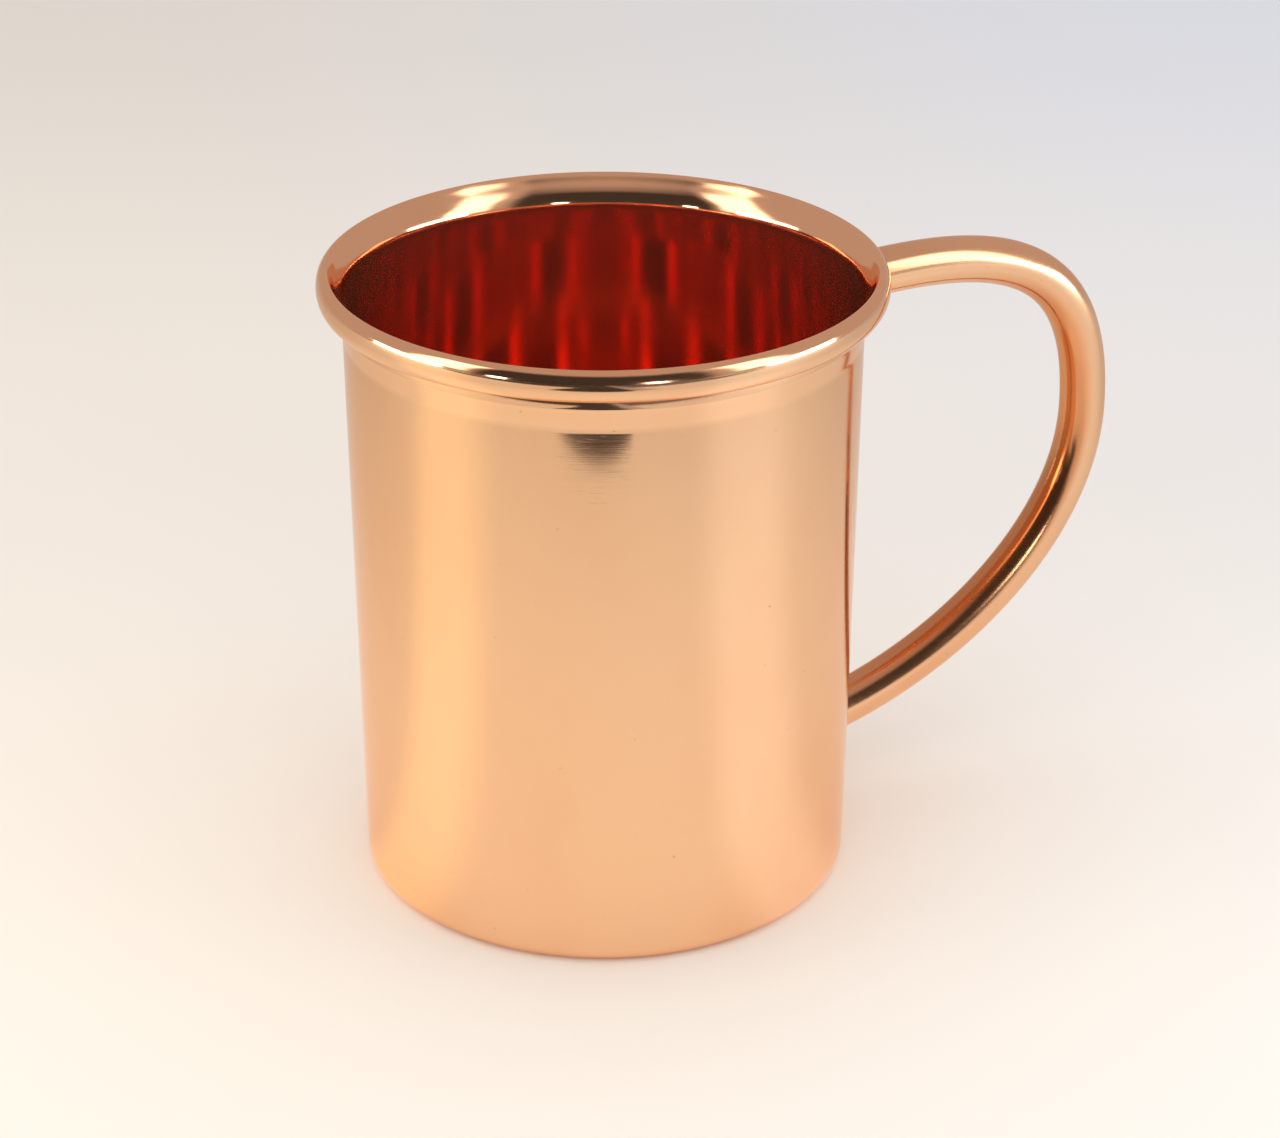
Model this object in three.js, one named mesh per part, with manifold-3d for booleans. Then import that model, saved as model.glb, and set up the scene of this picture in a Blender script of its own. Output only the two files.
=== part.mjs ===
// Copper mug with a tubular handle: a drawn cup with a rolled rim, a bent tube and two brazed joints.
// Millimetres, +Z up, the base flat on z = 0, the mug's axis on Z and the handle towards +X.

import * as THREE from 'three';
import { mergeVertices } from 'three/addons/utils/BufferGeometryUtils.js';
import Module from 'manifold-3d';

const wasm = await Module();
wasm.setup();

// Driving dimensions.
const BASE_RADIUS = 39.6; // outside of the wall, carried down to the base
const MOUTH_RADIUS = 40.6; // outside of the wall where the flare begins
const RIM_HEIGHT = 99.8; // centre of the rolled rim above the base
const SHEET = 0.8; // copper sheet
const CORNER_RADIUS = 2.4; // outside of the bottom corner
const RIM_HALF_WIDTH = 1.46; // rolled rim, radially
const RIM_HALF_HEIGHT = 2.45; // rolled rim, along the axis
const RIM_OVERHANG = 2.4; // centre of the rolled rim outside the mouth radius
const CURL_STOP = -138; // degrees round the roll where the sheet's edge ends
const ROLL_START = 106; // degrees round the roll where the sheet meets it on the way up
const FLARE_LENGTH = 5.4; // flare below the underside of the roll
const TUBE_RADIUS = 3.85;
const TUBE_WALL = 1.0;
const UPPER_DROP = 7.4; // upper joint below the centre of the rolled rim
const LOWER_HEIGHT = 13.7; // lower joint above the base
const HANDLE_REACH = 49.1; // tube's centreline beyond the mouth radius
const BRAZE_LEG = 1.5; // braze fillet, along the wall and along the tube
const GAP = 0.3; // left open between neighbours
const ROUND_SEGMENTS = 72;
const TUBE_SIDES = 28;
const TUBE_STEPS = 72;

// Shape of the handle's curve, as shares of its reach and of its height.
const BULGE_SHARE = 0.62; // outermost point, up from the lower joint
const UPPER_RUN = 0.625;
const UPPER_FALL = 0.95;
const LOWER_RISE = 0.476;
const LOWER_RUN = 0.543;
const UPPER_LEAN = 0.1; // radians above level at the upper joint
const LOWER_LEAN = 0.22; // radians above level at the lower joint

// Derived dimensions.
const rimRadius = MOUTH_RADIUS + RIM_OVERHANG;
const rollUnderside = RIM_HEIGHT - RIM_HALF_HEIGHT;
const flareStart = rollUnderside - FLARE_LENGTH;
const upperHeight = RIM_HEIGHT - UPPER_DROP;
const overlap = 3 * SHEET; // depth a tube or fillet starts inside the wall before it is coped

function wallRadius(z) {
  return BASE_RADIUS + ((MOUTH_RADIUS - BASE_RADIUS) * z) / flareStart;
}

function arc(cx, cz, rx, rz, from, to, steps) {
  const points = [];
  for (let i = 0; i <= steps; i += 1) {
    const angle = THREE.MathUtils.degToRad(from + ((to - from) * i) / steps);
    points.push(new THREE.Vector2(cx + rx * Math.cos(angle), cz + rz * Math.sin(angle)));
  }
  return points;
}

// A point of the flare, in rim overhangs out from the mouth and in roll half heights from the roll's centre.
function flarePoint(out, up) {
  return new THREE.Vector2(MOUTH_RADIUS + out * RIM_OVERHANG, RIM_HEIGHT + up * RIM_HALF_HEIGHT);
}

// Inside of the flare from the wall up to the roll, nearly upright and then leaning out over the top.
function flareInside() {
  return [
    new THREE.Vector2(MOUTH_RADIUS, flareStart),
    flarePoint(0.167, -1.959),
    flarePoint(0.229, -1.143),
    flarePoint(0.292, -0.735),
    flarePoint(0.417, -0.327),
    flarePoint(0.604, 0.082),
    flarePoint(0.833, 0.51),
    flarePoint(1.042, 0.816),
  ].map((point) => point.sub(new THREE.Vector2(SHEET, 0)));
}

// Outside of the flare up to the roll: a soft shoulder, then a strip that leans back in under the roll.
function flareOutside(offset) {
  return [
    new THREE.Vector2(MOUTH_RADIUS, flareStart),
    flarePoint(0.25, -2),
    flarePoint(0.292, -1.837),
    flarePoint(0.292, -1.673),
    flarePoint(0.267, -1.429),
    flarePoint(0.233, -1.224),
  ].map((point) => point.add(new THREE.Vector2(offset, 0)));
}

// The same face where the roll hides it.
function flareCovered() {
  return [
    flarePoint(0.229, -1.143),
    flarePoint(0.271, -0.939),
    flarePoint(0.354, -0.653),
    flarePoint(0.458, -0.367),
    flarePoint(0.625, 0),
    flarePoint(0.79, 0.367),
  ];
}

function cupProfile() {
  const innerCorner = CORNER_RADIUS - SHEET;
  const bottom = wallRadius(CORNER_RADIUS) - CORNER_RADIUS;
  const axis = [new THREE.Vector2(0, 0)];
  const outerCorner = arc(bottom, CORNER_RADIUS, CORNER_RADIUS, CORNER_RADIUS, -90, 0, 6);
  const rollInside = arc(
    rimRadius, RIM_HEIGHT, RIM_HALF_WIDTH - SHEET, RIM_HALF_HEIGHT - SHEET, ROLL_START, CURL_STOP, 14,
  );
  const rollOutside = arc(
    rimRadius, RIM_HEIGHT, RIM_HALF_WIDTH, RIM_HALF_HEIGHT, CURL_STOP, ROLL_START, 20,
  );
  const innerCornerArc = arc(bottom, CORNER_RADIUS, innerCorner, innerCorner, 0, -90, 5);
  const floor = [new THREE.Vector2(0, SHEET)];
  return [
    ...axis, ...outerCorner, ...flareOutside(0), ...flareCovered(), ...rollInside,
    ...rollOutside, ...flareInside().reverse(), ...innerCornerArc, ...floor,
  ];
}

// Solid filled to the axis, a gap larger than the cup all round, that shapes what is fitted to the wall.
function cupEnvelope() {
  const bottom = wallRadius(CORNER_RADIUS) - CORNER_RADIUS;
  const corner = CORNER_RADIUS + GAP;
  const roll = arc(rimRadius, RIM_HEIGHT, RIM_HALF_WIDTH + GAP, RIM_HALF_HEIGHT + GAP, -118, 90, 16);
  return [
    new THREE.Vector2(0, -GAP),
    ...arc(bottom, CORNER_RADIUS, corner, corner, -90, 0, 6),
    ...flareOutside(GAP).slice(0, 4),
    ...roll,
    new THREE.Vector2(0, RIM_HEIGHT + RIM_HALF_HEIGHT + GAP),
  ];
}

function revolve(points) {
  return new THREE.LatheGeometry(points, ROUND_SEGMENTS).rotateX(Math.PI / 2);
}

function toManifold(geometry) {
  const bare = geometry.clone();
  bare.deleteAttribute('normal');
  bare.deleteAttribute('uv');
  const merged = mergeVertices(bare, 1e-4);
  const vertProperties = new Float32Array(merged.attributes.position.array);
  const triVerts = new Uint32Array(merged.index.array);
  return new wasm.Manifold(new wasm.Mesh({ numProp: 3, vertProperties, triVerts }));
}

function toGeometry(solid) {
  const mesh = solid.getMesh();
  const geometry = new THREE.BufferGeometry();
  geometry.setAttribute('position', new THREE.BufferAttribute(new Float32Array(mesh.vertProperties), 3));
  geometry.setIndex(new THREE.BufferAttribute(new Uint32Array(mesh.triVerts), 1));
  geometry.computeVertexNormals();
  return geometry;
}

function at(x, z) {
  return new THREE.Vector3(x, 0, z);
}

// Centreline in the XZ plane: out of the wall, over the shoulder to the widest point, back to the wall.
function handleCurve() {
  const upper = at(MOUTH_RADIUS, upperHeight);
  const lower = at(wallRadius(LOWER_HEIGHT), LOWER_HEIGHT);
  const outer = MOUTH_RADIUS + HANDLE_REACH;
  const widest = at(outer, LOWER_HEIGHT + BULGE_SHARE * (upperHeight - LOWER_HEIGHT));
  const upperOut = at(Math.cos(UPPER_LEAN), Math.sin(UPPER_LEAN));
  const lowerOut = at(Math.cos(LOWER_LEAN), Math.sin(LOWER_LEAN));
  const upperRun = UPPER_RUN * HANDLE_REACH;
  const lowerRun = LOWER_RUN * HANDLE_REACH;
  const aboveWidest = widest.clone().add(at(0, UPPER_FALL * (upperHeight - widest.z)));
  const belowWidest = widest.clone().add(at(0, -LOWER_RISE * (widest.z - LOWER_HEIGHT)));
  const path = new THREE.CurvePath();
  path.add(new THREE.LineCurve3(upper.clone().addScaledVector(upperOut, -overlap), upper));
  path.add(new THREE.CubicBezierCurve3(
    upper, upper.clone().addScaledVector(upperOut, upperRun), aboveWidest, widest,
  ));
  path.add(new THREE.CubicBezierCurve3(
    widest, belowWidest, lower.clone().addScaledVector(lowerOut, lowerRun), lower,
  ));
  path.add(new THREE.LineCurve3(lower, lower.clone().addScaledVector(lowerOut, -overlap)));
  return path;
}

function handleTube() {
  const section = new THREE.Shape().absarc(0, 0, TUBE_RADIUS, 0, 2 * Math.PI, false);
  section.holes.push(new THREE.Path().absarc(0, 0, TUBE_RADIUS - TUBE_WALL, 0, 2 * Math.PI, true));
  return new THREE.ExtrudeGeometry(section, {
    curveSegments: TUBE_SIDES / 2,
    steps: TUBE_STEPS,
    extrudePath: handleCurve(),
  });
}

// Concave fillet round the tube's end, made about +Z and laid along the tube.
function brazeRing(x, z, lean) {
  const inner = TUBE_RADIUS + GAP;
  const foot = TUBE_RADIUS + GAP + BRAZE_LEG;
  const hollow = arc(foot, BRAZE_LEG + GAP, BRAZE_LEG, BRAZE_LEG, 270, 180, 5);
  const profile = [
    new THREE.Vector2(inner, -overlap),
    new THREE.Vector2(foot + 0.2, -overlap),
    new THREE.Vector2(foot + 0.2, GAP),
    ...hollow,
    new THREE.Vector2(inner, BRAZE_LEG + GAP),
  ];
  const tidy = profile.filter((p, i) => i === 0 || p.distanceTo(profile[i - 1]) > 1e-3);
  const ring = new THREE.LatheGeometry([...tidy, tidy[0].clone()], 36).rotateX(Math.PI / 2);
  return ring.rotateY(Math.PI / 2 - lean).translate(x, 0, z);
}

function copper(name, geometry, colour, roughness) {
  const material = new THREE.MeshStandardMaterial({ color: colour, metalness: 1, roughness });
  material.name = name;
  const mesh = new THREE.Mesh(geometry, material);
  mesh.name = name;
  return mesh;
}

function build() {
  const envelope = toManifold(revolve(cupEnvelope()));
  const fit = (geometry) => toGeometry(toManifold(geometry).subtract(envelope));
  const upper = brazeRing(MOUTH_RADIUS, upperHeight, UPPER_LEAN);
  const lower = brazeRing(wallRadius(LOWER_HEIGHT), LOWER_HEIGHT, LOWER_LEAN);
  const mug = new THREE.Group();
  mug.name = 'copper_mug';
  mug.add(
    copper('body_shell', revolve(cupProfile()), 0xd99a6c, 0.25),
    copper('handle_tube', fit(handleTube()), 0xd38f60, 0.22),
    copper('upper_braze', fit(upper), 0xc98a5a, 0.4),
    copper('lower_braze', fit(lower), 0xc98a5a, 0.4),
  );
  return mug;
}

export default build();
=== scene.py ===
"""A copper mug with a rolled rim and a bent tube handle, in metres, +Z up, standing on z = 0."""

from math import cos, pi, radians, sin

import bpy
from mathutils import Matrix, Quaternion, Vector


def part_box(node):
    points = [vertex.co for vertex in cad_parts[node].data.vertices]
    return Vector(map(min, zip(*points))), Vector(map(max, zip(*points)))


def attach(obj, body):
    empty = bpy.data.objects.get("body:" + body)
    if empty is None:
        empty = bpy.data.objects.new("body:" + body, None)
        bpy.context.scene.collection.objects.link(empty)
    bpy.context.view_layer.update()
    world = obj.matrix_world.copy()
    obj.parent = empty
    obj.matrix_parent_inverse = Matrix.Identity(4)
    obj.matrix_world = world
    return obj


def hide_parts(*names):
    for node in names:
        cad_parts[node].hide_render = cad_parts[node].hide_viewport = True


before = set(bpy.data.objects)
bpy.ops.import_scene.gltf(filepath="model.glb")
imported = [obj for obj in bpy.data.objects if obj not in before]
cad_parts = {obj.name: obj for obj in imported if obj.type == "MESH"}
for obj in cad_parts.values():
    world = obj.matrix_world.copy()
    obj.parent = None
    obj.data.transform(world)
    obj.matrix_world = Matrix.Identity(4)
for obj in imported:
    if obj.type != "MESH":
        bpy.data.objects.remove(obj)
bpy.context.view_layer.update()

bl_info = {
    "name": "Copper mug",
    "version": (1, 0, 0),
    "blender": (4, 5, 0),
    "location": "View3D > Sidebar > Copper mug",
    "description": "Builds a polished copper mug with a tube handle",
    "category": "Object",
}

MM = 0.001

# The top of the rolled rim and the outermost side of the handle, which the pieces follow.
RIM_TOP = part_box("body_shell")[1][2]
TUBE_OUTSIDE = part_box("handle_tube")[1][0]

BASE_RADIUS = 39.6 * MM
MOUTH_RADIUS = 40.6 * MM
ROLL_UP = 2.45 * MM
TUBE_RADIUS = 3.85 * MM


class CupSizes(bpy.types.PropertyGroup):
    """Sizes of the drawn cup."""

    base_radius: bpy.props.FloatProperty(
        name="Base radius", description="Outside of the wall, carried down to the base",
        default=BASE_RADIUS, unit="LENGTH", precision=5)
    mouth_radius: bpy.props.FloatProperty(
        name="Mouth radius", description="Outside of the wall where the flare begins",
        default=MOUTH_RADIUS, unit="LENGTH", precision=5)
    sheet: bpy.props.FloatProperty(
        name="Sheet", description="Thickness of the copper sheet",
        default=0.8 * MM, unit="LENGTH", precision=5)
    corner: bpy.props.FloatProperty(
        name="Corner", description="Outside radius of the bottom corner",
        default=2.4 * MM, unit="LENGTH", precision=5)
    rim_height: bpy.props.FloatProperty(
        name="Rim height", description="Centre of the rolled rim above the base",
        default=RIM_TOP - ROLL_UP, unit="LENGTH", precision=5)
    roll_across: bpy.props.FloatProperty(
        name="Roll across", description="Half width of the rolled rim",
        default=1.46 * MM, unit="LENGTH", precision=5)
    roll_up: bpy.props.FloatProperty(
        name="Roll up", description="Half height of the rolled rim",
        default=ROLL_UP, unit="LENGTH", precision=5)
    overhang: bpy.props.FloatProperty(
        name="Overhang", description="Centre of the rolled rim outside the mouth radius",
        default=2.4 * MM, unit="LENGTH", precision=5)
    flare: bpy.props.FloatProperty(
        name="Flare", description="Length of the flare below the roll",
        default=5.4 * MM, unit="LENGTH", precision=5)
    segments: bpy.props.IntProperty(
        name="Segments", description="Steps round the mug", default=288, min=24)


class HandleSizes(bpy.types.PropertyGroup):
    """Sizes of the bent tube and its brazed joints."""

    tube_radius: bpy.props.FloatProperty(
        name="Tube radius", description="Outside radius of the tube",
        default=TUBE_RADIUS, unit="LENGTH", precision=5)
    upper_drop: bpy.props.FloatProperty(
        name="Upper drop", description="Upper joint below the centre of the rolled rim",
        default=7.4 * MM, unit="LENGTH", precision=5)
    lower_height: bpy.props.FloatProperty(
        name="Lower height", description="Lower joint above the base",
        default=13.7 * MM, unit="LENGTH", precision=5)
    reach: bpy.props.FloatProperty(
        name="Reach", description="Widest point of the centreline beyond the mouth radius",
        default=TUBE_OUTSIDE - TUBE_RADIUS - MOUTH_RADIUS, unit="LENGTH", precision=5)
    upper_lean: bpy.props.FloatProperty(
        name="Upper lean", description="Rise of the tube where it leaves the wall",
        default=0.1, subtype="ANGLE")
    lower_lean: bpy.props.FloatProperty(
        name="Lower lean", description="Rise of the tube where it meets the wall below",
        default=0.22, subtype="ANGLE")
    braze: bpy.props.FloatProperty(
        name="Braze", description="Size of the fillet at each joint",
        default=1.7 * MM, unit="LENGTH", precision=5)


class Finish(bpy.types.PropertyGroup):
    """Colours and polish of the metal."""

    copper: bpy.props.FloatVectorProperty(
        name="Copper", description="Polished copper", subtype="COLOR",
        default=(0.88, 0.538, 0.319), size=3, min=0, max=1)
    # Redder, darker copper inside the cup: partly a duller finish, partly painted shade in the cup's hollow.
    inside: bpy.props.FloatVectorProperty(
        name="Inside", description="Copper inside the cup", subtype="COLOR",
        default=(0.87, 0.45, 0.27), size=3, min=0, max=1)
    # Darker copper on the side of the handle that faces the cup: a painted reflection of the cup's copper
    # wall.
    painted_cup_reflection: bpy.props.FloatVectorProperty(
        name="Touched", description="Darker copper where fingers hold the handle", subtype="COLOR",
        default=(0.66, 0.27, 0.11), size=3, min=0, max=1)
    tarnish: bpy.props.FloatVectorProperty(
        name="Tarnish", description="Thin warm film on handled copper", subtype="COLOR",
        default=(0.80, 0.40, 0.20), size=3, min=0, max=1)
    braze: bpy.props.FloatVectorProperty(
        name="Braze", description="Brazing metal", subtype="COLOR",
        default=(0.86, 0.56, 0.33), size=3, min=0, max=1)
    polish: bpy.props.FloatProperty(
        name="Polish", description="Roughness of the body's outside",
        default=0.10, min=0, max=1, subtype="FACTOR")


def sizes():
    return bpy.context.scene.mug_cup, bpy.context.scene.mug_handle, bpy.context.scene.mug_finish


# Modelling steps.

SAME_POINT = 1e-6
SMOOTH_BELOW = radians(40)


def deselect():
    if bpy.context.object and bpy.context.object.mode != "OBJECT":
        bpy.ops.object.mode_set(mode="OBJECT")
    bpy.ops.object.select_all(action="DESELECT")


def first_point(name, place):
    """A mesh with one selected point, open in edit mode."""
    deselect()
    bpy.ops.mesh.primitive_plane_add(size=MM)
    piece = bpy.context.object
    piece.name = piece.data.name = name
    bpy.ops.object.mode_set(mode="EDIT")
    bpy.ops.mesh.select_all(action="SELECT")
    bpy.ops.mesh.merge(type="CENTER")
    bpy.ops.transform.translate(value=place)
    return piece


def draw_section(name, points):
    """Extrudes a point along a section in the XZ plane."""
    last = Vector((points[0][0], 0, points[0][1]))
    piece = first_point(name, last)
    for x, z in points[1:]:
        step = Vector((x, 0, z)) - last
        bpy.ops.mesh.extrude_region_move(TRANSFORM_OT_translate={"value": step})
        last = last + step
    return piece


def spin_section(steps):
    """Turns the open section once round the Z axis and closes its seam and poles."""
    bpy.ops.mesh.select_all(action="SELECT")
    bpy.ops.mesh.spin(steps=steps, angle=2 * pi, center=(0, 0, 0), axis=(0, 0, 1))
    bpy.ops.mesh.select_all(action="SELECT")
    bpy.ops.mesh.remove_doubles(threshold=SAME_POINT)
    bpy.ops.mesh.normals_make_consistent(inside=False)
    bpy.ops.mesh.select_all(action="DESELECT")


def finish_piece(piece, node):
    """Smooths the piece, hides the solid it stands for and puts it on the root body."""
    deselect()
    piece.select_set(True)
    bpy.context.view_layer.objects.active = piece
    bpy.ops.object.shade_smooth_by_angle(angle=SMOOTH_BELOW)
    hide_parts(node)
    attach(piece, "root")
    return piece


def cut_with(piece, cutter):
    """Takes the cutter's solid out of a piece and deletes the cutter."""
    deselect()
    piece.select_set(True)
    bpy.context.view_layer.objects.active = piece
    cut = piece.modifiers.new("cope", "BOOLEAN")
    cut.operation = "DIFFERENCE"
    cut.solver = "EXACT"
    cut.object = cutter
    bpy.ops.object.modifier_apply(modifier=cut.name)
    bpy.data.objects.remove(cutter, do_unlink=True)


# Sections of the cup.

# The rolled edge runs from the inside of the flare over the top, out, down and back in, in degrees.
ROLL_START, ROLL_STOP = 106, -138

# Steps in each stretch of the section.
WALL_STEPS, CORNER_STEPS, INNER_CORNER_STEPS = 16, 14, 12
ROLL_STEPS, ROLL_INNER_STEPS = 64, 30
FLARE_STEPS, FLARE_INNER_STEPS = 3, 4

# How far below the flare the wall's last ring is, and how much narrower the inside is there.
LEAD_IN = 0.7 * MM
LEAD_IN_TAPER = 0.01 * MM

# The base's flat rings, as shares of its radius.
BASE_RINGS = 0.5, 0.9


def arc(cx, cz, rx, rz, start, stop, steps):
    """Points along a stretch of an ellipse, from one angle in degrees to another."""
    turns = [radians(start + (stop - start) * i / steps) for i in range(steps + 1)]
    return [(cx + rx * cos(t), cz + rz * sin(t)) for t in turns]


def wall_radius(cup, z):
    top = flare_start(cup)
    return cup.base_radius + (cup.mouth_radius - cup.base_radius) * z / top


def flare_start(cup):
    return cup.rim_height - cup.roll_up - cup.flare


def flare_point(cup, out, up):
    """In rim overhangs out from the mouth and in roll half heights from the roll's centre."""
    return (cup.mouth_radius + out * cup.overhang, cup.rim_height + up * cup.roll_up)


def smooth_line(points, steps):
    """A soft curve through the points."""
    ends = [points[0], *points, points[-1]]
    line = []
    for before, here, after, beyond in zip(ends, ends[1:], ends[2:], ends[3:]):
        for step in range(steps):
            t = step / steps
            line.append(tuple(
                b + 0.5 * t * (c - a + t * (2 * a - 5 * b + 4 * c - d + t * (3 * (b - c) + d - a)))
                for a, b, c, d in zip(before, here, after, beyond)))
    return [*line, points[-1]]


def flare_inside(cup):
    """From the wall up to the roll, nearly upright and then leaning out over the top."""
    shares = (
        (0.025, -1.959), (0.045, -1.143), (0.100, -0.700), (0.250, -0.260),
        (0.520, 0.150), (0.833, 0.54), (1.042, 0.816), (1.166, 0.959),
    )
    line = [(cup.mouth_radius, flare_start(cup)), *[flare_point(cup, *share) for share in shares]]
    return smooth_line([(x - cup.sheet, z) for x, z in line], FLARE_INNER_STEPS)[:-1]


def flare_outside(cup, offset=0.0):
    """Up to the roll: a soft shoulder, then a strip that leans back in under the roll."""
    shares = (
        (0.125, -2.6), (0.25, -2.0), (0.292, -1.837),
        (0.292, -1.673), (0.267, -1.429), (0.233, -1.224),
    )
    line = [(cup.mouth_radius, flare_start(cup)), *[flare_point(cup, *share) for share in shares]]
    return [(x + offset, z) for x, z in smooth_line(line, FLARE_STEPS)]


def flare_covered(cup):
    """The outside of the flare where the roll hides it."""
    shares = (
        (0.229, -1.143), (0.271, -0.939), (0.354, -0.653),
        (0.458, -0.367), (0.625, 0.0), (0.79, 0.367),
    )
    return [flare_point(cup, *share) for share in shares]


def cup_section(cup):
    """The sheet's whole outline, from the axis under the base round to the axis on the floor."""
    bottom = wall_radius(cup, cup.corner) - cup.corner
    rim = cup.mouth_radius + cup.overhang
    inner = cup.corner - cup.sheet
    top = flare_start(cup)
    last = top - LEAD_IN
    roll = cup.roll_across, cup.roll_up
    roll_inner = cup.roll_across - cup.sheet, cup.roll_up - cup.sheet
    near, far = [bottom * share for share in BASE_RINGS]
    heights = [cup.corner + (top - cup.corner) * i / WALL_STEPS for i in range(1, WALL_STEPS)]
    wall = [(wall_radius(cup, z), z) for z in heights]
    return [
        (0.0, 0.0), (near, 0.0), (far, 0.0),
        *arc(bottom, cup.corner, cup.corner, cup.corner, -90, 0, CORNER_STEPS),
        *wall,
        (wall_radius(cup, last), last),
        *flare_outside(cup),
        *flare_covered(cup),
        *arc(rim, cup.rim_height, *roll_inner, ROLL_START, ROLL_STOP, ROLL_INNER_STEPS),
        *arc(rim, cup.rim_height, *roll, ROLL_STOP, ROLL_START, ROLL_STEPS),
        *reversed(flare_inside(cup)),
        (cup.mouth_radius - cup.sheet - LEAD_IN_TAPER, last),
        *[(x - cup.sheet, z) for x, z in reversed(wall)],
        *arc(bottom, cup.corner, inner, inner, 0, -90, INNER_CORNER_STEPS),
        (far, cup.sheet), (near, cup.sheet), (0.0, cup.sheet),
    ]


# Heights at which the core follows the wall, and its steps round.
CORE_HEIGHTS = 5 * MM, 30 * MM, 60 * MM, 85 * MM
CORE_SEGMENTS = 144


def cup_core(cup, name):
    """A solid out to the middle of the sheet, which shapes whatever is brazed to the wall."""
    half = -0.5 * cup.sheet
    top = cup.rim_height
    section = [(0.0, -MM), (cup.base_radius + half, -MM)]
    section += [(wall_radius(cup, z) + half, z) for z in CORE_HEIGHTS]
    section += flare_outside(cup, half)
    section += [(cup.mouth_radius, top), (0.0, top)]
    core = draw_section(name, section)
    spin_section(CORE_SEGMENTS)
    deselect()
    return core


# The handle's widest point, as a share of the way up from the lower joint to the upper one.
WIDEST_SHARE = 0.62

# How far the curve's own handles reach: up and down from the widest point as shares of the height on
# that side, and out from each joint as shares of the handle's reach.
WIDEST_RISE, WIDEST_FALL = 0.95, 0.476
UPPER_PULL, LOWER_PULL = 0.625, 0.543

# How far the tube runs on into the wall before it is cut, in sheets.
ROOT_SHEETS = 3


def handle_path(cup, handle):
    """Knots of the centreline as point, handle before and handle after."""
    upper = Vector((cup.mouth_radius, 0, cup.rim_height - handle.upper_drop))
    lower = Vector((wall_radius(cup, handle.lower_height), 0, handle.lower_height))
    up_out = Vector((cos(handle.upper_lean), 0, sin(handle.upper_lean)))
    low_out = Vector((cos(handle.lower_lean), 0, sin(handle.lower_lean)))
    widest = Vector((cup.mouth_radius + handle.reach, 0, lower.z + WIDEST_SHARE * (upper.z - lower.z)))
    rise = Vector((0, 0, WIDEST_RISE * (upper.z - widest.z)))
    fall = Vector((0, 0, WIDEST_FALL * (widest.z - lower.z)))
    root = ROOT_SHEETS * cup.sheet
    pull = root / 3
    up_start = upper - up_out * root
    low_end = lower - low_out * root
    return [
        (up_start, up_start - up_out * MM, up_start + up_out * pull),
        (upper, upper - up_out * pull, upper + up_out * UPPER_PULL * handle.reach),
        (widest, widest + rise, widest - fall),
        (lower, lower + low_out * LOWER_PULL * handle.reach, lower - low_out * pull),
        (low_end, low_end + low_out * pull, low_end - low_out * MM),
    ]


# Quarter steps round the tube and steps along each stretch of it.
TUBE_ROUNDNESS, TUBE_STEPS = 14, 72

# Name of the handle's attribute that says how far a point faces away from the cup.
FACING_OUT = "facing_out"

# A fillet laps into the tube and runs past its foot, starts inside the wall and stands a little proud.
BRAZE_LAP, BRAZE_SKIRT, BRAZE_DEPTH = 0.25 * MM, 0.3 * MM, 2 * MM
BRAZE_LIFT, BRAZE_TOP = 0.12 * MM, 0.2 * MM
BRAZE_STEPS, BRAZE_SEGMENTS = 12, 96


def mark_side_facing_cup(piece):
    """Keeps on each point how far it faces away from the cup, for the darker painted reflection on the near
    side.
    """
    mark = piece.data.attributes.new(FACING_OUT, "FLOAT", "POINT")
    for point, vertex in zip(mark.data, piece.data.vertices):
        point.value = vertex.normal.x


def braze_section(handle):
    """A concave fillet round the tube, with a skirt that the cup's core is cut from."""
    leg = handle.braze
    inner = handle.tube_radius - BRAZE_LAP
    foot = handle.tube_radius + leg
    skirt = foot + BRAZE_SKIRT
    return [
        (inner, -BRAZE_DEPTH), (skirt, -BRAZE_DEPTH), (skirt, BRAZE_LIFT),
        *arc(foot, leg + BRAZE_LIFT, leg, leg, 270, 180, BRAZE_STEPS),
        (inner, leg + BRAZE_TOP), (inner, -BRAZE_DEPTH),
    ]


# Materials.

class Nodes:
    """Short words for building a tree of shader nodes."""

    def __init__(self, owner):
        owner.use_nodes = True
        self.tree = owner.node_tree
        self.tree.nodes.clear()

    def add(self, kind, **values):
        node = self.tree.nodes.new(kind)
        for key, value in values.items():
            setattr(node, key, value)
        return node

    def link(self, source, target):
        self.tree.links.new(source, target)

    def split(self, vector):
        """The three parts of a vector."""
        node = self.add("ShaderNodeSeparateXYZ")
        self.link(vector, node.inputs[0])
        return node.outputs

    def ramp(self, value, low, high, bottom=0.0, top=1.0):
        node = self.add("ShaderNodeMapRange", interpolation_type="SMOOTHSTEP")
        self.link(value, node.inputs["Value"])
        node.inputs["From Min"].default_value = low
        node.inputs["From Max"].default_value = high
        node.inputs["To Min"].default_value = bottom
        node.inputs["To Max"].default_value = top
        return node.outputs[0]

    def math(self, operation, a, b=None):
        node = self.add("ShaderNodeMath", operation=operation)
        for socket, value in zip(node.inputs, (a, b)):
            if value is None:
                continue
            if isinstance(value, (int, float)):
                socket.default_value = value
            else:
                self.link(value, socket)
        return node.outputs[0]

    def length(self, x, y):
        """How far a place is from the middle, by its two flat distances."""
        squares = [self.math("MULTIPLY", side, side) for side in (x, y)]
        return self.math("SQRT", self.math("ADD", *squares))

    def between(self, value, low, high, soft):
        """One between two limits, with an edge that is soft to both sides of each."""
        rise = self.ramp(value, low - soft, low + soft)
        return self.math("MULTIPLY", rise, self.ramp(value, high + soft, high - soft))

    def mix(self, factor, first, second):
        node = self.add("ShaderNodeMix", data_type="RGBA")
        pairs = ((node.inputs[0], factor), (node.inputs[6], first), (node.inputs[7], second))
        for socket, value in pairs:
            if isinstance(value, (int, float)):
                socket.default_value = value
            elif isinstance(value, (tuple, list)):
                socket.default_value = (*value[:3], 1.0)
            else:
                self.link(value, socket)
        return node.outputs[2]


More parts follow.
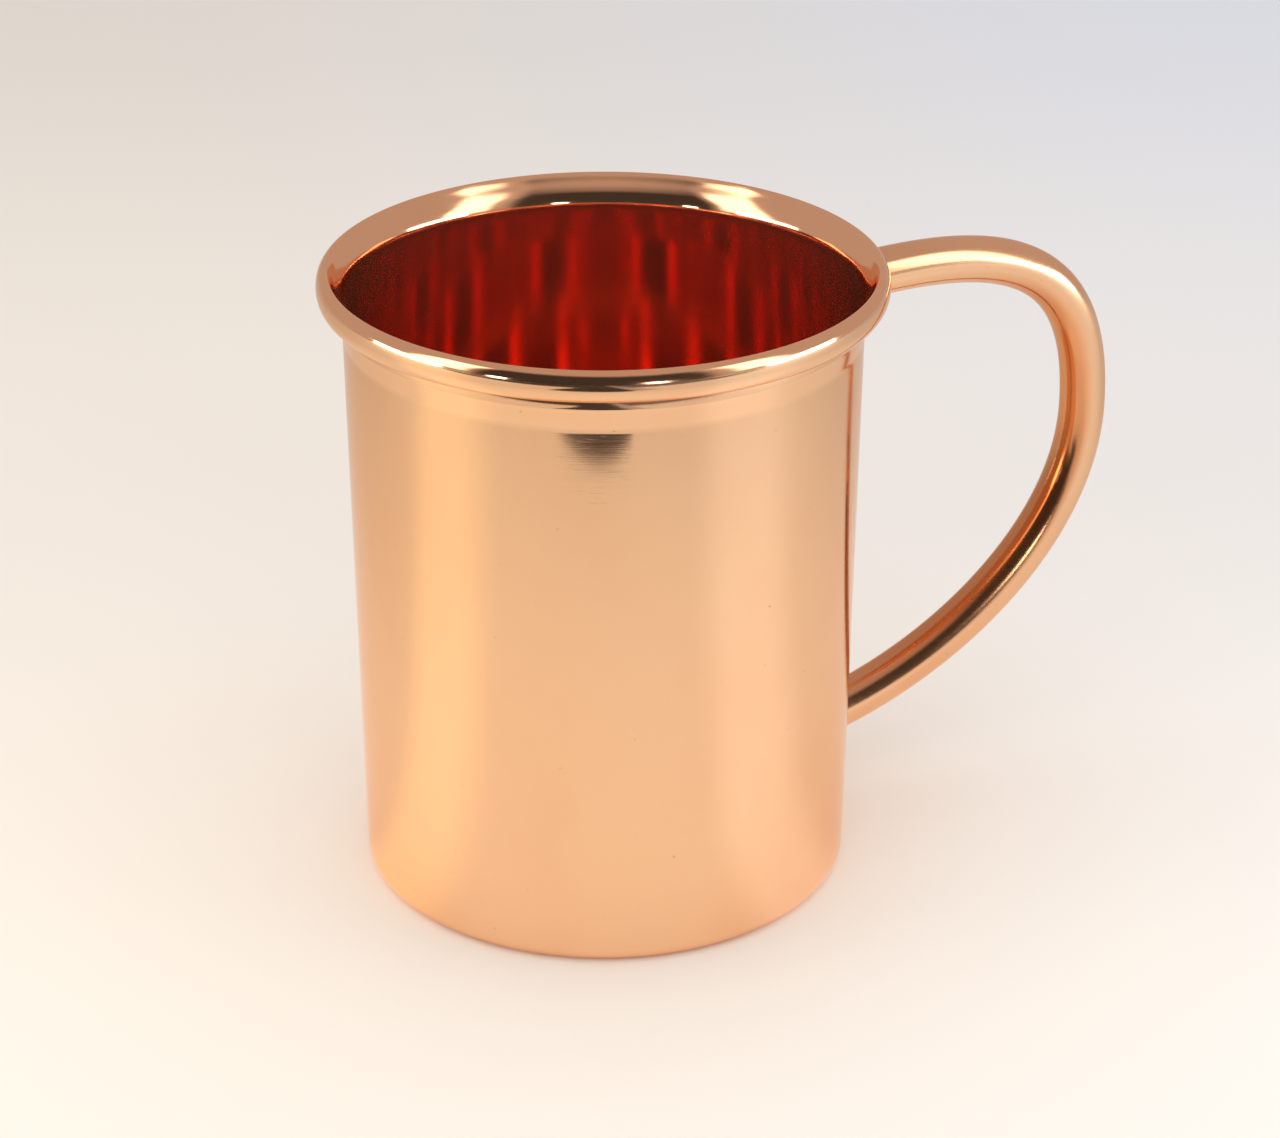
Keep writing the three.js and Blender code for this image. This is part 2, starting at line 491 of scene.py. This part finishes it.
class Surface(Nodes):
    """A material's nodes: a shader, the place on the piece, and patterns that lie on it."""

    def __init__(self, name):
        self.material = bpy.data.materials.get(name) or bpy.data.materials.new(name)
        super().__init__(self.material)
        out = self.add("ShaderNodeOutputMaterial")
        self.shader = self.add("ShaderNodeBsdfPrincipled")
        self.link(self.shader.outputs[0], out.inputs[0])
        self.place = self.add("ShaderNodeTexCoord").outputs["Object"]

    def mapped(self, scale=(1, 1, 1), turn=(0, 0, 0)):
        """The place on the piece, turned and stretched."""
        node = self.add("ShaderNodeMapping")
        self.link(self.place, node.inputs["Vector"])
        node.inputs["Scale"].default_value = scale
        node.inputs["Rotation"].default_value = turn
        return node.outputs[0]

    def noise(self, scale, detail=2.0, roughness=0.5, turn=(0, 0, 0)):
        """A cloudy pattern. Its scale is spots per metre along each axis."""
        node = self.add("ShaderNodeTexNoise")
        self.link(self.mapped(scale, turn), node.inputs["Vector"])
        node.inputs["Scale"].default_value = 1.0
        node.inputs["Detail"].default_value = detail
        node.inputs["Roughness"].default_value = roughness
        return node.outputs[0]

    def bump(self, height, distance, strength=1.0, under=None):
        node = self.add("ShaderNodeBump")
        node.inputs["Strength"].default_value = strength
        node.inputs["Distance"].default_value = distance
        self.link(height, node.inputs["Height"])
        if under is not None:
            self.link(under, node.inputs["Normal"])
        return node.outputs[0]


# Heights above the base at which the inside's duller finish and darker tone, partly painted shade, start to
# fade and at which they are gone.
DULL_FADE = 97.0 * MM, 99.5 * MM
INSIDE_METALLIC, INSIDE_ROUGHNESS = 0.97, 0.6

# How fast the border between inside and outside, in the middle of the sheet, widens with height.
INSIDE_TAPER = 0.0108

# Tint of the metal at grazing angles.
EDGE_TINT = 1.0, 0.88, 0.80

# How fine each pattern is, in spots per metre along each axis.
CLOUDS, SMUDGES, WAVES = (26, 26, 18), (40, 40, 34), (34, 34, 22)
FLECKS, SCRATCHES = (900, 900, 1300), (260, 90, 4200)
BRAZE_CLOUDS, BRAZE_GRAIN = (300, 300, 300), (900, 900, 900)

# How the smudges and scratches are turned from the axes, in radians.
SMUDGE_TURN, SCRATCH_TURN = (0.3, 0.2, 0.0), (0.05, 0.35, 0.2)

# Polishing lines per metre along each axis, and their depth.
SPUN_LINES, SPUN_LINE_DEPTH = (60, 60, 7000), 0.004 * MM
TUBE_LINES, TUBE_LINE_DEPTH = (2600, 2600, 2600), 0.002 * MM
WAVE_DEPTH, SCRATCH_DEPTH, BRAZE_GRAIN_DEPTH = 0.2 * MM, 0.01 * MM, 0.04 * MM

# How much of the warm film lies on the cup and on the handle, and how much duller the handle is.
CUP_FILM, TUBE_FILM, TUBE_DULLER = 0.25, 0.5, 0.075

# How strongly the flecks show, their tone against the tarnish, and how much rougher they are.
FLECK_STRENGTH, FLECK_TONE, FLECK_ROUGHNESS = 0.55, 0.62, 0.2

# Where the painted reflection of the cup on the handle's near side begins and is full, as how far the
# surface faces outwards.
PAINTED_REFLECTION_SIDE, PAINTED_REFLECTION_STRENGTH = (0.15, -0.55), 0.9


def inside_mask(n, cup):
    """One on the inside of the cup, which is never polished as brightly as the outside and whose darker tone
    is partly painted shade.
    """
    x, y, z = n.split(n.place)
    middle = n.math("ADD", n.math("MULTIPLY", z, INSIDE_TAPER), cup.base_radius - cup.sheet / 2)
    inner = n.math("LESS_THAN", n.length(x, y), middle)
    above_base = n.math("GREATER_THAN", z, cup.sheet / 2)
    below_rim = n.ramp(z, *DULL_FADE, bottom=1.0, top=0.0)
    return n.math("MULTIPLY", n.math("MULTIPLY", inner, above_base), below_rim)


def warm_film(n, finish, film):
    """Copper under clouds of thin warm tarnish."""
    clouds = n.ramp(n.noise(CLOUDS, detail=4.0, roughness=0.55), low=0.42, high=0.72, top=film)
    return n.mix(clouds, tuple(finish.copper), tuple(finish.tarnish))


def flecks(n):
    """Tiny darker pits, well apart."""
    return n.ramp(n.noise(FLECKS), low=0.74, high=0.80, top=FLECK_STRENGTH)


def finish_marks(n, lines, line_depth):
    """The bumps of polishing: slow waves, fine lines one way and a few odd scratches over them."""
    waves = n.noise(WAVES, detail=1.0, roughness=0.4)
    grain = n.noise(lines, detail=4.0, roughness=0.6)
    odd = n.ramp(n.noise(SCRATCHES, detail=1.0, turn=SCRATCH_TURN), low=0.66, high=0.72)
    wave = n.bump(waves, WAVE_DEPTH, strength=0.04)
    lined = n.bump(grain, line_depth, strength=0.25, under=wave)
    return n.bump(odd, SCRATCH_DEPTH, strength=0.08, under=lined)


def polish_roughness(n, lines, polish, fleck):
    """Roughness that drifts with smudges and along the lines, and is higher in the flecks."""
    smudges = n.noise(SMUDGES, detail=3.0, roughness=0.6, turn=SMUDGE_TURN)
    smudge = n.ramp(smudges, low=0.35, high=0.75, bottom=-0.025, top=0.05)
    grain = n.noise(lines, detail=3.0, roughness=0.6)
    fine = n.ramp(grain, low=0.3, high=0.7, bottom=-0.02, top=0.02)
    rough = n.math("ADD", n.math("ADD", smudge, fine), polish)
    return n.math("ADD", rough, n.math("MULTIPLY", fleck, FLECK_ROUGHNESS))


def polished_copper(name, finish, lines, line_depth, polish, film):
    """Copper polished on a wheel. Gives the nodes, the colour and the roughness, for more on top."""
    n = Surface(name)
    fleck = flecks(n)
    pit = tuple(value * FLECK_TONE for value in finish.tarnish)
    tone = n.mix(fleck, warm_film(n, finish, film), pit)
    rough = polish_roughness(n, lines, polish, fleck)
    n.shader.inputs["Metallic"].default_value = 1.0
    n.shader.inputs["Specular Tint"].default_value = (*EDGE_TINT, 1.0)
    n.link(finish_marks(n, lines, line_depth), n.shader.inputs["Normal"])
    return n, tone, rough


def spun_copper(cup, finish):
    """The cup's copper, lines running round it; the inside redder and duller, its darker tone partly painted
    shade.
    """
    n, tone, rough = polished_copper(
        "spun_copper", finish, SPUN_LINES, SPUN_LINE_DEPTH, finish.polish, CUP_FILM)
    inside = inside_mask(n, cup)
    # Inside the cup: redder, darker copper, partly a duller finish and partly painted shade.
    n.link(n.mix(inside, tone, tuple(finish.inside)), n.shader.inputs["Base Color"])
    n.link(n.ramp(inside, 0.0, 1.0, bottom=1.0, top=INSIDE_METALLIC), n.shader.inputs["Metallic"])
    softened = n.ramp(inside, 0.0, 1.0, bottom=1.0, top=INSIDE_ROUGHNESS)
    n.link(n.math("MULTIPLY", rough, softened), n.shader.inputs["Roughness"])
    return n.material


def drawn_copper_tube(finish):
    """The handle's copper: duller, and darker on the side facing the cup, a painted reflection of the cup's
    wall.
    """
    n, tone, rough = polished_copper(
        "drawn_copper_tube", finish, TUBE_LINES, TUBE_LINE_DEPTH, finish.polish + TUBE_DULLER, TUBE_FILM)
    # The side facing the cup gets darker copper, a painted reflection of the cup's wall.
    facing = n.add("ShaderNodeAttribute", attribute_name=FACING_OUT).outputs["Fac"]
    painted_cup_reflection = n.ramp(facing, *PAINTED_REFLECTION_SIDE, top=PAINTED_REFLECTION_STRENGTH)
    n.link(n.mix(painted_cup_reflection, tone, tuple(finish.painted_cup_reflection)), n.shader.inputs["Base Color"])
    n.link(rough, n.shader.inputs["Roughness"])
    return n.material


def braze_metal(name, finish):
    """Brazing metal rubbed back by hand: a little rough and uneven, darker where it thins out."""
    n = Surface(name)
    cloud = n.ramp(n.noise(BRAZE_CLOUDS, detail=3.0, roughness=0.6), low=0.35, high=0.7)
    tone = n.mix(cloud, tuple(finish.braze), tuple(finish.tarnish))
    n.link(tone, n.shader.inputs["Base Color"])
    n.shader.inputs["Metallic"].default_value = 1.0
    n.link(n.ramp(cloud, 0.0, 1.0, bottom=0.28, top=0.4), n.shader.inputs["Roughness"])
    grain = n.noise(BRAZE_GRAIN, detail=3.0, roughness=0.6)
    n.link(n.bump(grain, BRAZE_GRAIN_DEPTH, strength=0.5), n.shader.inputs["Normal"])
    return n.material


def dress(piece, material):
    piece.data.materials.clear()
    piece.data.materials.append(material)


# Operators.

class MUG_OT_cup(bpy.types.Operator):
    """Draw the section of the sheet and spin it into the cup with its rolled rim"""

    bl_idname = "mug.cup"
    bl_label = "Cup"

    def execute(self, context):
        cup, _, finish = sizes()
        piece = draw_section("cup_with_rolled_rim", cup_section(cup))
        spin_section(cup.segments)
        finish_piece(piece, "body_shell")
        dress(piece, spun_copper(cup, finish))
        return {"FINISHED"}


class MUG_OT_handle(bpy.types.Operator):
    """Bend the tube along its path and cope its ends to the wall"""

    bl_idname = "mug.handle"
    bl_label = "Handle"

    def execute(self, context):
        cup, handle, finish = sizes()
        knots = handle_path(cup, handle)
        deselect()
        bpy.ops.curve.primitive_bezier_curve_add(enter_editmode=True)
        bpy.ops.curve.select_all(action="SELECT")
        bpy.ops.curve.subdivide(number_cuts=len(knots) - 2)
        bpy.ops.object.mode_set(mode="OBJECT")
        piece = bpy.context.object
        piece.name = "handle"
        curve = piece.data
        for point, (here, before, after) in zip(curve.splines[0].bezier_points, knots):
            point.handle_left_type = point.handle_right_type = "FREE"
            point.co, point.handle_left, point.handle_right = here, before, after
        curve.dimensions = "3D"
        curve.bevel_depth = handle.tube_radius
        curve.bevel_resolution = TUBE_ROUNDNESS
        curve.resolution_u = TUBE_STEPS
        curve.use_fill_caps = True
        bpy.ops.object.convert(target="MESH")
        piece = bpy.context.object
        piece.data.name = "handle"
        bpy.ops.object.mode_set(mode="EDIT")
        bpy.ops.mesh.select_all(action="SELECT")
        bpy.ops.mesh.remove_doubles(threshold=SAME_POINT)
        bpy.ops.mesh.normals_make_consistent(inside=False)
        cut_with(piece, cup_core(cup, "core"))
        finish_piece(piece, "handle_tube")
        mark_side_facing_cup(piece)
        dress(piece, drawn_copper_tube(finish))
        return {"FINISHED"}


class MUG_OT_braze(bpy.types.Operator):
    """Spin a concave fillet round each end of the tube and fit it to the wall"""

    bl_idname = "mug.braze"
    bl_label = "Brazed joints"

    def execute(self, context):
        cup, handle, finish = sizes()
        knots = handle_path(cup, handle)
        metal = braze_metal("brazing_metal", finish)
        joints = (
            ("upper_joint", "upper_braze", knots[1][0], handle.upper_lean),
            ("lower_joint", "lower_braze", knots[3][0], handle.lower_lean),
        )
        for name, node, place, lean in joints:
            piece = draw_section(name, braze_section(handle))
            spin_section(BRAZE_SEGMENTS)
            turn = Matrix.Rotation(pi / 2 - lean, 4, "Y")
            bpy.ops.object.mode_set(mode="OBJECT")
            piece.data.transform(Matrix.Translation(place) @ turn)
            cut_with(piece, cup_core(cup, "core"))
            finish_piece(piece, node)
            dress(piece, metal)
        return {"FINISHED"}


# The camera: its direction round the mug and height above the floor, what it looks at, and small turns.
VIEW_AZIMUTH = radians(-25)
VIEW_HEIGHT = radians(26.9)
VIEW_DISTANCE = 542.3 * MM
VIEW_LENS, VIEW_SENSOR = 93.74, 36
VIEW_RANGE = 0.01, 50
VIEW_AIM = Vector((0, 0, 40 * MM))
VIEW_YAW, VIEW_TILT, VIEW_ROLL = -0.01066, 0.01625, 0.0030
EXPOSURE = 0.2

# Times that light may be passed on inside the cup.
BOUNCES = 24


def camera_frame():
    turn = Quaternion((0, 0, 1), VIEW_AZIMUTH) @ Quaternion((1, 0, 0), pi / 2 - VIEW_HEIGHT)
    place = VIEW_AIM + turn @ Vector((0, 0, VIEW_DISTANCE))
    small = Quaternion((0, 1, 0), VIEW_YAW) @ Quaternion((1, 0, 0), VIEW_TILT)
    return place, turn @ small @ Quaternion((0, 0, 1), -VIEW_ROLL)


def set_camera(context):
    lens = bpy.data.cameras.new("camera")
    camera = bpy.data.objects.new("camera", lens)
    lens.sensor_width = VIEW_SENSOR
    lens.lens = VIEW_LENS
    lens.clip_start, lens.clip_end = VIEW_RANGE
    camera.location, turn = camera_frame()
    camera.rotation_euler = turn.to_euler()
    context.scene.collection.objects.link(camera)
    context.scene.camera = camera


# Soft lights, all at one distance: angle to the right of the camera and above the floor in degrees, width
# and height in metres, brightness and colour.
LIGHT_DISTANCE = 1.2
WARM, COOL, WHITE = (1.0, 0.95, 0.88), (0.93, 0.96, 1.0), (1, 1, 1)
LIGHTS = (
    ("window_left", -80, 8.5, 0.72, 0.26, 5.0, WARM),
    ("window_right", 81, 8.5, 0.72, 0.26, 5.0, COOL),
    ("lamp_left", -40, 8, 0.14, 0.12, 9.0, WHITE),
    ("lamp_right", 19.5, 8.5, 0.14, 0.12, 9.0, WHITE),
)


def from_view(azimuth, height, distance):
    """A place by its angle to the right of the camera, its angle above the floor and its distance."""
    angle = VIEW_AZIMUTH - pi / 2 + radians(azimuth)
    flat = distance * cos(radians(height))
    return Vector((flat * cos(angle), flat * sin(angle), distance * sin(radians(height))))


def soft_box(name, azimuth, height, wide, tall, radiance, colour):
    place = from_view(azimuth, height, LIGHT_DISTANCE)
    lamp = bpy.data.lights.new(name, "AREA")
    lamp.shape = "RECTANGLE"
    lamp.size, lamp.size_y = wide, tall
    lamp.energy = radiance * pi * wide * tall
    lamp.color = colour
    item = bpy.data.objects.new(name, lamp)
    item.location = place
    item.rotation_euler = (VIEW_AIM - place).to_track_quat("-Z", "Y").to_euler()
    item.visible_camera = False
    bpy.context.scene.collection.objects.link(item)


# The pale surroundings that light the mug and stand behind it.
STUDIO_WHITE = 0.93, 0.92, 0.91

# What the metal mirrors instead: dull walls, a dark room on the camera's side and a window to each side.
MIRRORED_WALLS = 0.50, 0.40, 0.375
MIRRORED_ROOM = 0.05, 0.042, 0.04
MIRRORED_WINDOWS = 2.6, 2.45, 2.2

# Their edges: angles to the right of the camera in degrees, and heights as sines of the angle up.
ROOM_SIDES, ROOM_TOP, ROOM_SOFTNESS = (-51, 42), (0.88, 0.66), 4
WINDOW_SIDES, WINDOW_SOFTNESS = ((-80, -55), (53, 76)), 3
WINDOW_HEIGHTS, WINDOW_HEIGHT_SOFTNESS = (0.12, 0.74), 0.05

DEGREES = 180 / pi


def studio_world():
    """Pale soft surroundings, in which the metal mirrors a darker room with two windows."""
    world = bpy.data.worlds.new("studio")
    bpy.context.scene.world = world
    n = Nodes(world)
    x, y, up = n.split(n.add("ShaderNodeTexCoord").outputs["Generated"])
    turned = n.math("MULTIPLY", n.math("ARCTAN2", y, x), DEGREES)
    turned = n.math("ADD", turned, 90 - VIEW_AZIMUTH * DEGREES + 180)
    angle = n.math("SUBTRACT", n.math("MODULO", n.math("ADD", turned, 360.0), 360.0), 180.0)
    room = n.between(angle, *ROOM_SIDES, ROOM_SOFTNESS)
    room = n.math("MULTIPLY", room, n.ramp(up, *ROOM_TOP))
    windows = n.math("ADD", *[n.between(angle, *sides, WINDOW_SOFTNESS) for sides in WINDOW_SIDES])
    high = n.between(up, *WINDOW_HEIGHTS, WINDOW_HEIGHT_SOFTNESS)
    windows = n.math("MULTIPLY", windows, high)
    mirrored = n.mix(windows, n.mix(room, MIRRORED_WALLS, MIRRORED_ROOM), MIRRORED_WINDOWS)
    in_metal = n.add("ShaderNodeLightPath").outputs["Is Glossy Ray"]
    shade = n.add("ShaderNodeBackground")
    n.link(n.mix(in_metal, STUDIO_WHITE, mirrored), shade.inputs["Color"])
    shade.inputs["Strength"].default_value = 1.0
    n.link(shade.outputs[0], n.add("ShaderNodeOutputWorld").inputs[0])


# The floor's paper with painted light and shade, left and right: near the camera, beside the mug and behind
# it.
# Painted light and shade: cream near the camera, greyer behind, warmer on the left and cooler on the right.
PAPER_LIT_NEAR = (0.95, 0.885, 0.79), (0.93, 0.90, 0.86)
PAPER_SHADED_MIDDLE = (0.80, 0.735, 0.665), (0.76, 0.735, 0.725)
PAPER_SHADED_FAR = (0.665, 0.615, 0.57), (0.63, 0.645, 0.70)

# Where one tone gives way to the next, in metres across and away from the camera.
LEFT_TO_RIGHT, NEAR_TO_MIDDLE, MIDDLE_TO_FAR = (-0.15, 0.20), (-0.05, 0.16), (0.12, 0.50)

# As the metal mirrors it, the paper's painted shade darkens it from the first distance to the second.
MIRRORED_FALL, MIRRORED_SHADE = (0.06, 0.24), (1.07, 0.78)

# Window light that the metal mirrors on the paper: the edges where it comes and goes, in degrees to the
# right of the camera's side, and its colour.
LIGHT_ON_LEFT = (-90, -74), (-40, -62), (0.20, 0.17, 0.075)
LIGHT_ON_RIGHT = (34, 52), (88, 66), (0.12, 0.14, 0.17)

PAPER_ROUGHNESS, PAPER_SPECULAR = 0.7, 0.2
FLOOR_WIDTH, FLOOR_SEGMENTS, FLOOR_INSET = 8, 96, 0.2


def paper_with_painted_light(name):
    """Painted light and shade on paper: cream near the camera, greyer behind, window light only the metal
    mirrors.
    """
    n = Surface(name)
    x, y, _ = n.split(n.mapped(turn=(0, 0, -VIEW_AZIMUTH)))
    # The paper's tones are painted light and shade: warmer on the left, cooler on the right, greyer further
    # away.
    side = n.ramp(x, *LEFT_TO_RIGHT)
    near, middle, far = [n.mix(side, *pair) for pair in (PAPER_LIT_NEAR, PAPER_SHADED_MIDDLE, PAPER_SHADED_FAR)]
    tone = n.mix(n.ramp(y, *NEAR_TO_MIDDLE), near, middle)
    tone = n.mix(n.ramp(y, *MIDDLE_TO_FAR), tone, far)
    in_metal = n.add("ShaderNodeLightPath").outputs["Is Glossy Ray"]
    fall = n.add("ShaderNodeMapRange")
    n.link(n.length(x, y), fall.inputs["Value"])
    fall.inputs["From Min"].default_value, fall.inputs["From Max"].default_value = MIRRORED_FALL
    fall.inputs["To Min"].default_value, fall.inputs["To Max"].default_value = MIRRORED_SHADE
    shade = n.add("ShaderNodeMix", data_type="RGBA", blend_type="MULTIPLY", clamp_result=False)
    n.link(in_metal, shade.inputs[0])
    n.link(tone, shade.inputs[6])
    n.link(fall.outputs[0], shade.inputs[7])
    n.link(shade.outputs[2], n.shader.inputs["Base Color"])
    n.shader.inputs["Roughness"].default_value = PAPER_ROUGHNESS
    n.shader.inputs["Specular IOR Level"].default_value = PAPER_SPECULAR
    angle = n.math("MULTIPLY", n.math("ARCTAN2", x, n.math("MULTIPLY", y, -1.0)), DEGREES)
    lit = (0, 0, 0)
    for comes, goes, colour in (LIGHT_ON_LEFT, LIGHT_ON_RIGHT):
        patch = n.math("MULTIPLY", n.ramp(angle, *comes), n.ramp(angle, *goes))
        lit = n.mix(patch, lit, colour)
    n.link(lit, n.shader.inputs["Emission Color"])
    n.link(in_metal, n.shader.inputs["Emission Strength"])
    return n.material


def lay_floor():
    deselect()
    bpy.ops.mesh.primitive_circle_add(vertices=FLOOR_SEGMENTS, radius=0.5, fill_type="NGON")
    floor = bpy.context.object
    floor.name = "floor"
    bpy.ops.object.mode_set(mode="EDIT")
    bpy.ops.mesh.select_all(action="SELECT")
    bpy.ops.mesh.inset(thickness=FLOOR_INSET)
    bpy.ops.mesh.select_all(action="INVERT")
    bpy.ops.object.mode_set(mode="OBJECT")
    floor.data.transform(Matrix.Scale(FLOOR_WIDTH, 4))
    dress(floor, paper_with_painted_light("paper_with_painted_light"))


# Cards flat on the floor that only the metal mirrors: the dark room past the table's edge, a pale doorway in
# it, and a dark bag. Each has its near and far edges in metres towards the camera's side, its left and right
# edges, its height above the floor, and its tone.
CARD_HEIGHT, BAG_HEIGHT = 0.0006, 0.0008
DARK = 0.03, 0.027, 0.026
CARDS = (
    ("dark_at_the_table_edge", 0.236, 0.50, -0.086, 0.047, CARD_HEIGHT, DARK),
    ("dark_past_the_table", 0.50, 3.8, -1.6, 0.047, CARD_HEIGHT, DARK),
    ("doorway_past_the_table", 0.243, 3.8, 0.047, 0.090, CARD_HEIGHT, (0.42, 0.38, 0.46)),
    ("dark_right_of_the_doorway", 0.50, 3.8, 0.090, 1.2, CARD_HEIGHT, (0.10, 0.085, 0.08)),
)
BAG = ("bag_on_the_table", 0.2215, 0.2475, -0.082, 0.047, BAG_HEIGHT, (0.035, 0.026, 0.030))
BAG_SEGMENTS = 48
CARD_ROUGHNESS = 0.9


def card(name, near, far, left, right, height, tone, rounded=False):
    deselect()
    if rounded:
        bpy.ops.mesh.primitive_circle_add(vertices=BAG_SEGMENTS, radius=0.5, fill_type="NGON")
    else:
        bpy.ops.mesh.primitive_plane_add(size=1)
    sheet = bpy.context.object
    sheet.name = name
    shape = Matrix.Translation(((left + right) / 2, -(near + far) / 2, height))
    shape = shape @ Matrix.Diagonal((right - left, far - near, 1, 1))
    sheet.data.transform(Matrix.Rotation(VIEW_AZIMUTH, 4, "Z") @ shape)
    n = Surface(name)
    n.shader.inputs["Base Color"].default_value = (*tone, 1)
    n.shader.inputs["Roughness"].default_value = CARD_ROUGHNESS
    dress(sheet, n.material)
    sheet.visible_camera = sheet.visible_diffuse = sheet.visible_shadow = False


class MUG_OT_stage(bpy.types.Operator):
    """Lay the pale floor and set the lights, the world and the camera"""

    bl_idname = "mug.stage"
    bl_label = "Stage"

    def execute(self, context):
        lay_floor()
        for values in CARDS:
            card(*values)
        card(*BAG, rounded=True)
        studio_world()
        for values in LIGHTS:
            soft_box(*values)
        set_camera(context)
        context.scene.view_settings.view_transform = "Standard"
        context.scene.view_settings.exposure = EXPOSURE
        context.scene.cycles.max_bounces = BOUNCES
        context.scene.cycles.glossy_bounces = BOUNCES
        return {"FINISHED"}


class MUG_PT_panel(bpy.types.Panel):
    """Lists the mug's pieces in the order they are built"""

    bl_idname = "MUG_PT_panel"
    bl_label = "Copper mug"
    bl_space_type = "VIEW_3D"
    bl_region_type = "UI"
    bl_category = "Copper mug"

    def draw(self, context):
        layout = self.layout
        for item in OPERATORS:
            layout.operator(item.bl_idname)
        for group in (context.scene.mug_cup, context.scene.mug_handle, context.scene.mug_finish):
            box = layout.box()
            for name in group.__annotations__:
                box.prop(group, name)


OPERATORS = (MUG_OT_cup, MUG_OT_handle, MUG_OT_braze, MUG_OT_stage)
CLASSES = (CupSizes, HandleSizes, Finish, *OPERATORS, MUG_PT_panel)


def register():
    for item in CLASSES:
        bpy.utils.register_class(item)
    bpy.types.Scene.mug_cup = bpy.props.PointerProperty(type=CupSizes)
    bpy.types.Scene.mug_handle = bpy.props.PointerProperty(type=HandleSizes)
    bpy.types.Scene.mug_finish = bpy.props.PointerProperty(type=Finish)


def unregister():
    del bpy.types.Scene.mug_cup
    del bpy.types.Scene.mug_handle
    del bpy.types.Scene.mug_finish
    for item in reversed(CLASSES):
        bpy.utils.unregister_class(item)


def main():
    register()
    for step in (bpy.ops.mug.cup, bpy.ops.mug.handle, bpy.ops.mug.braze, bpy.ops.mug.stage):
        step()


if __name__ == "__main__":
    main()
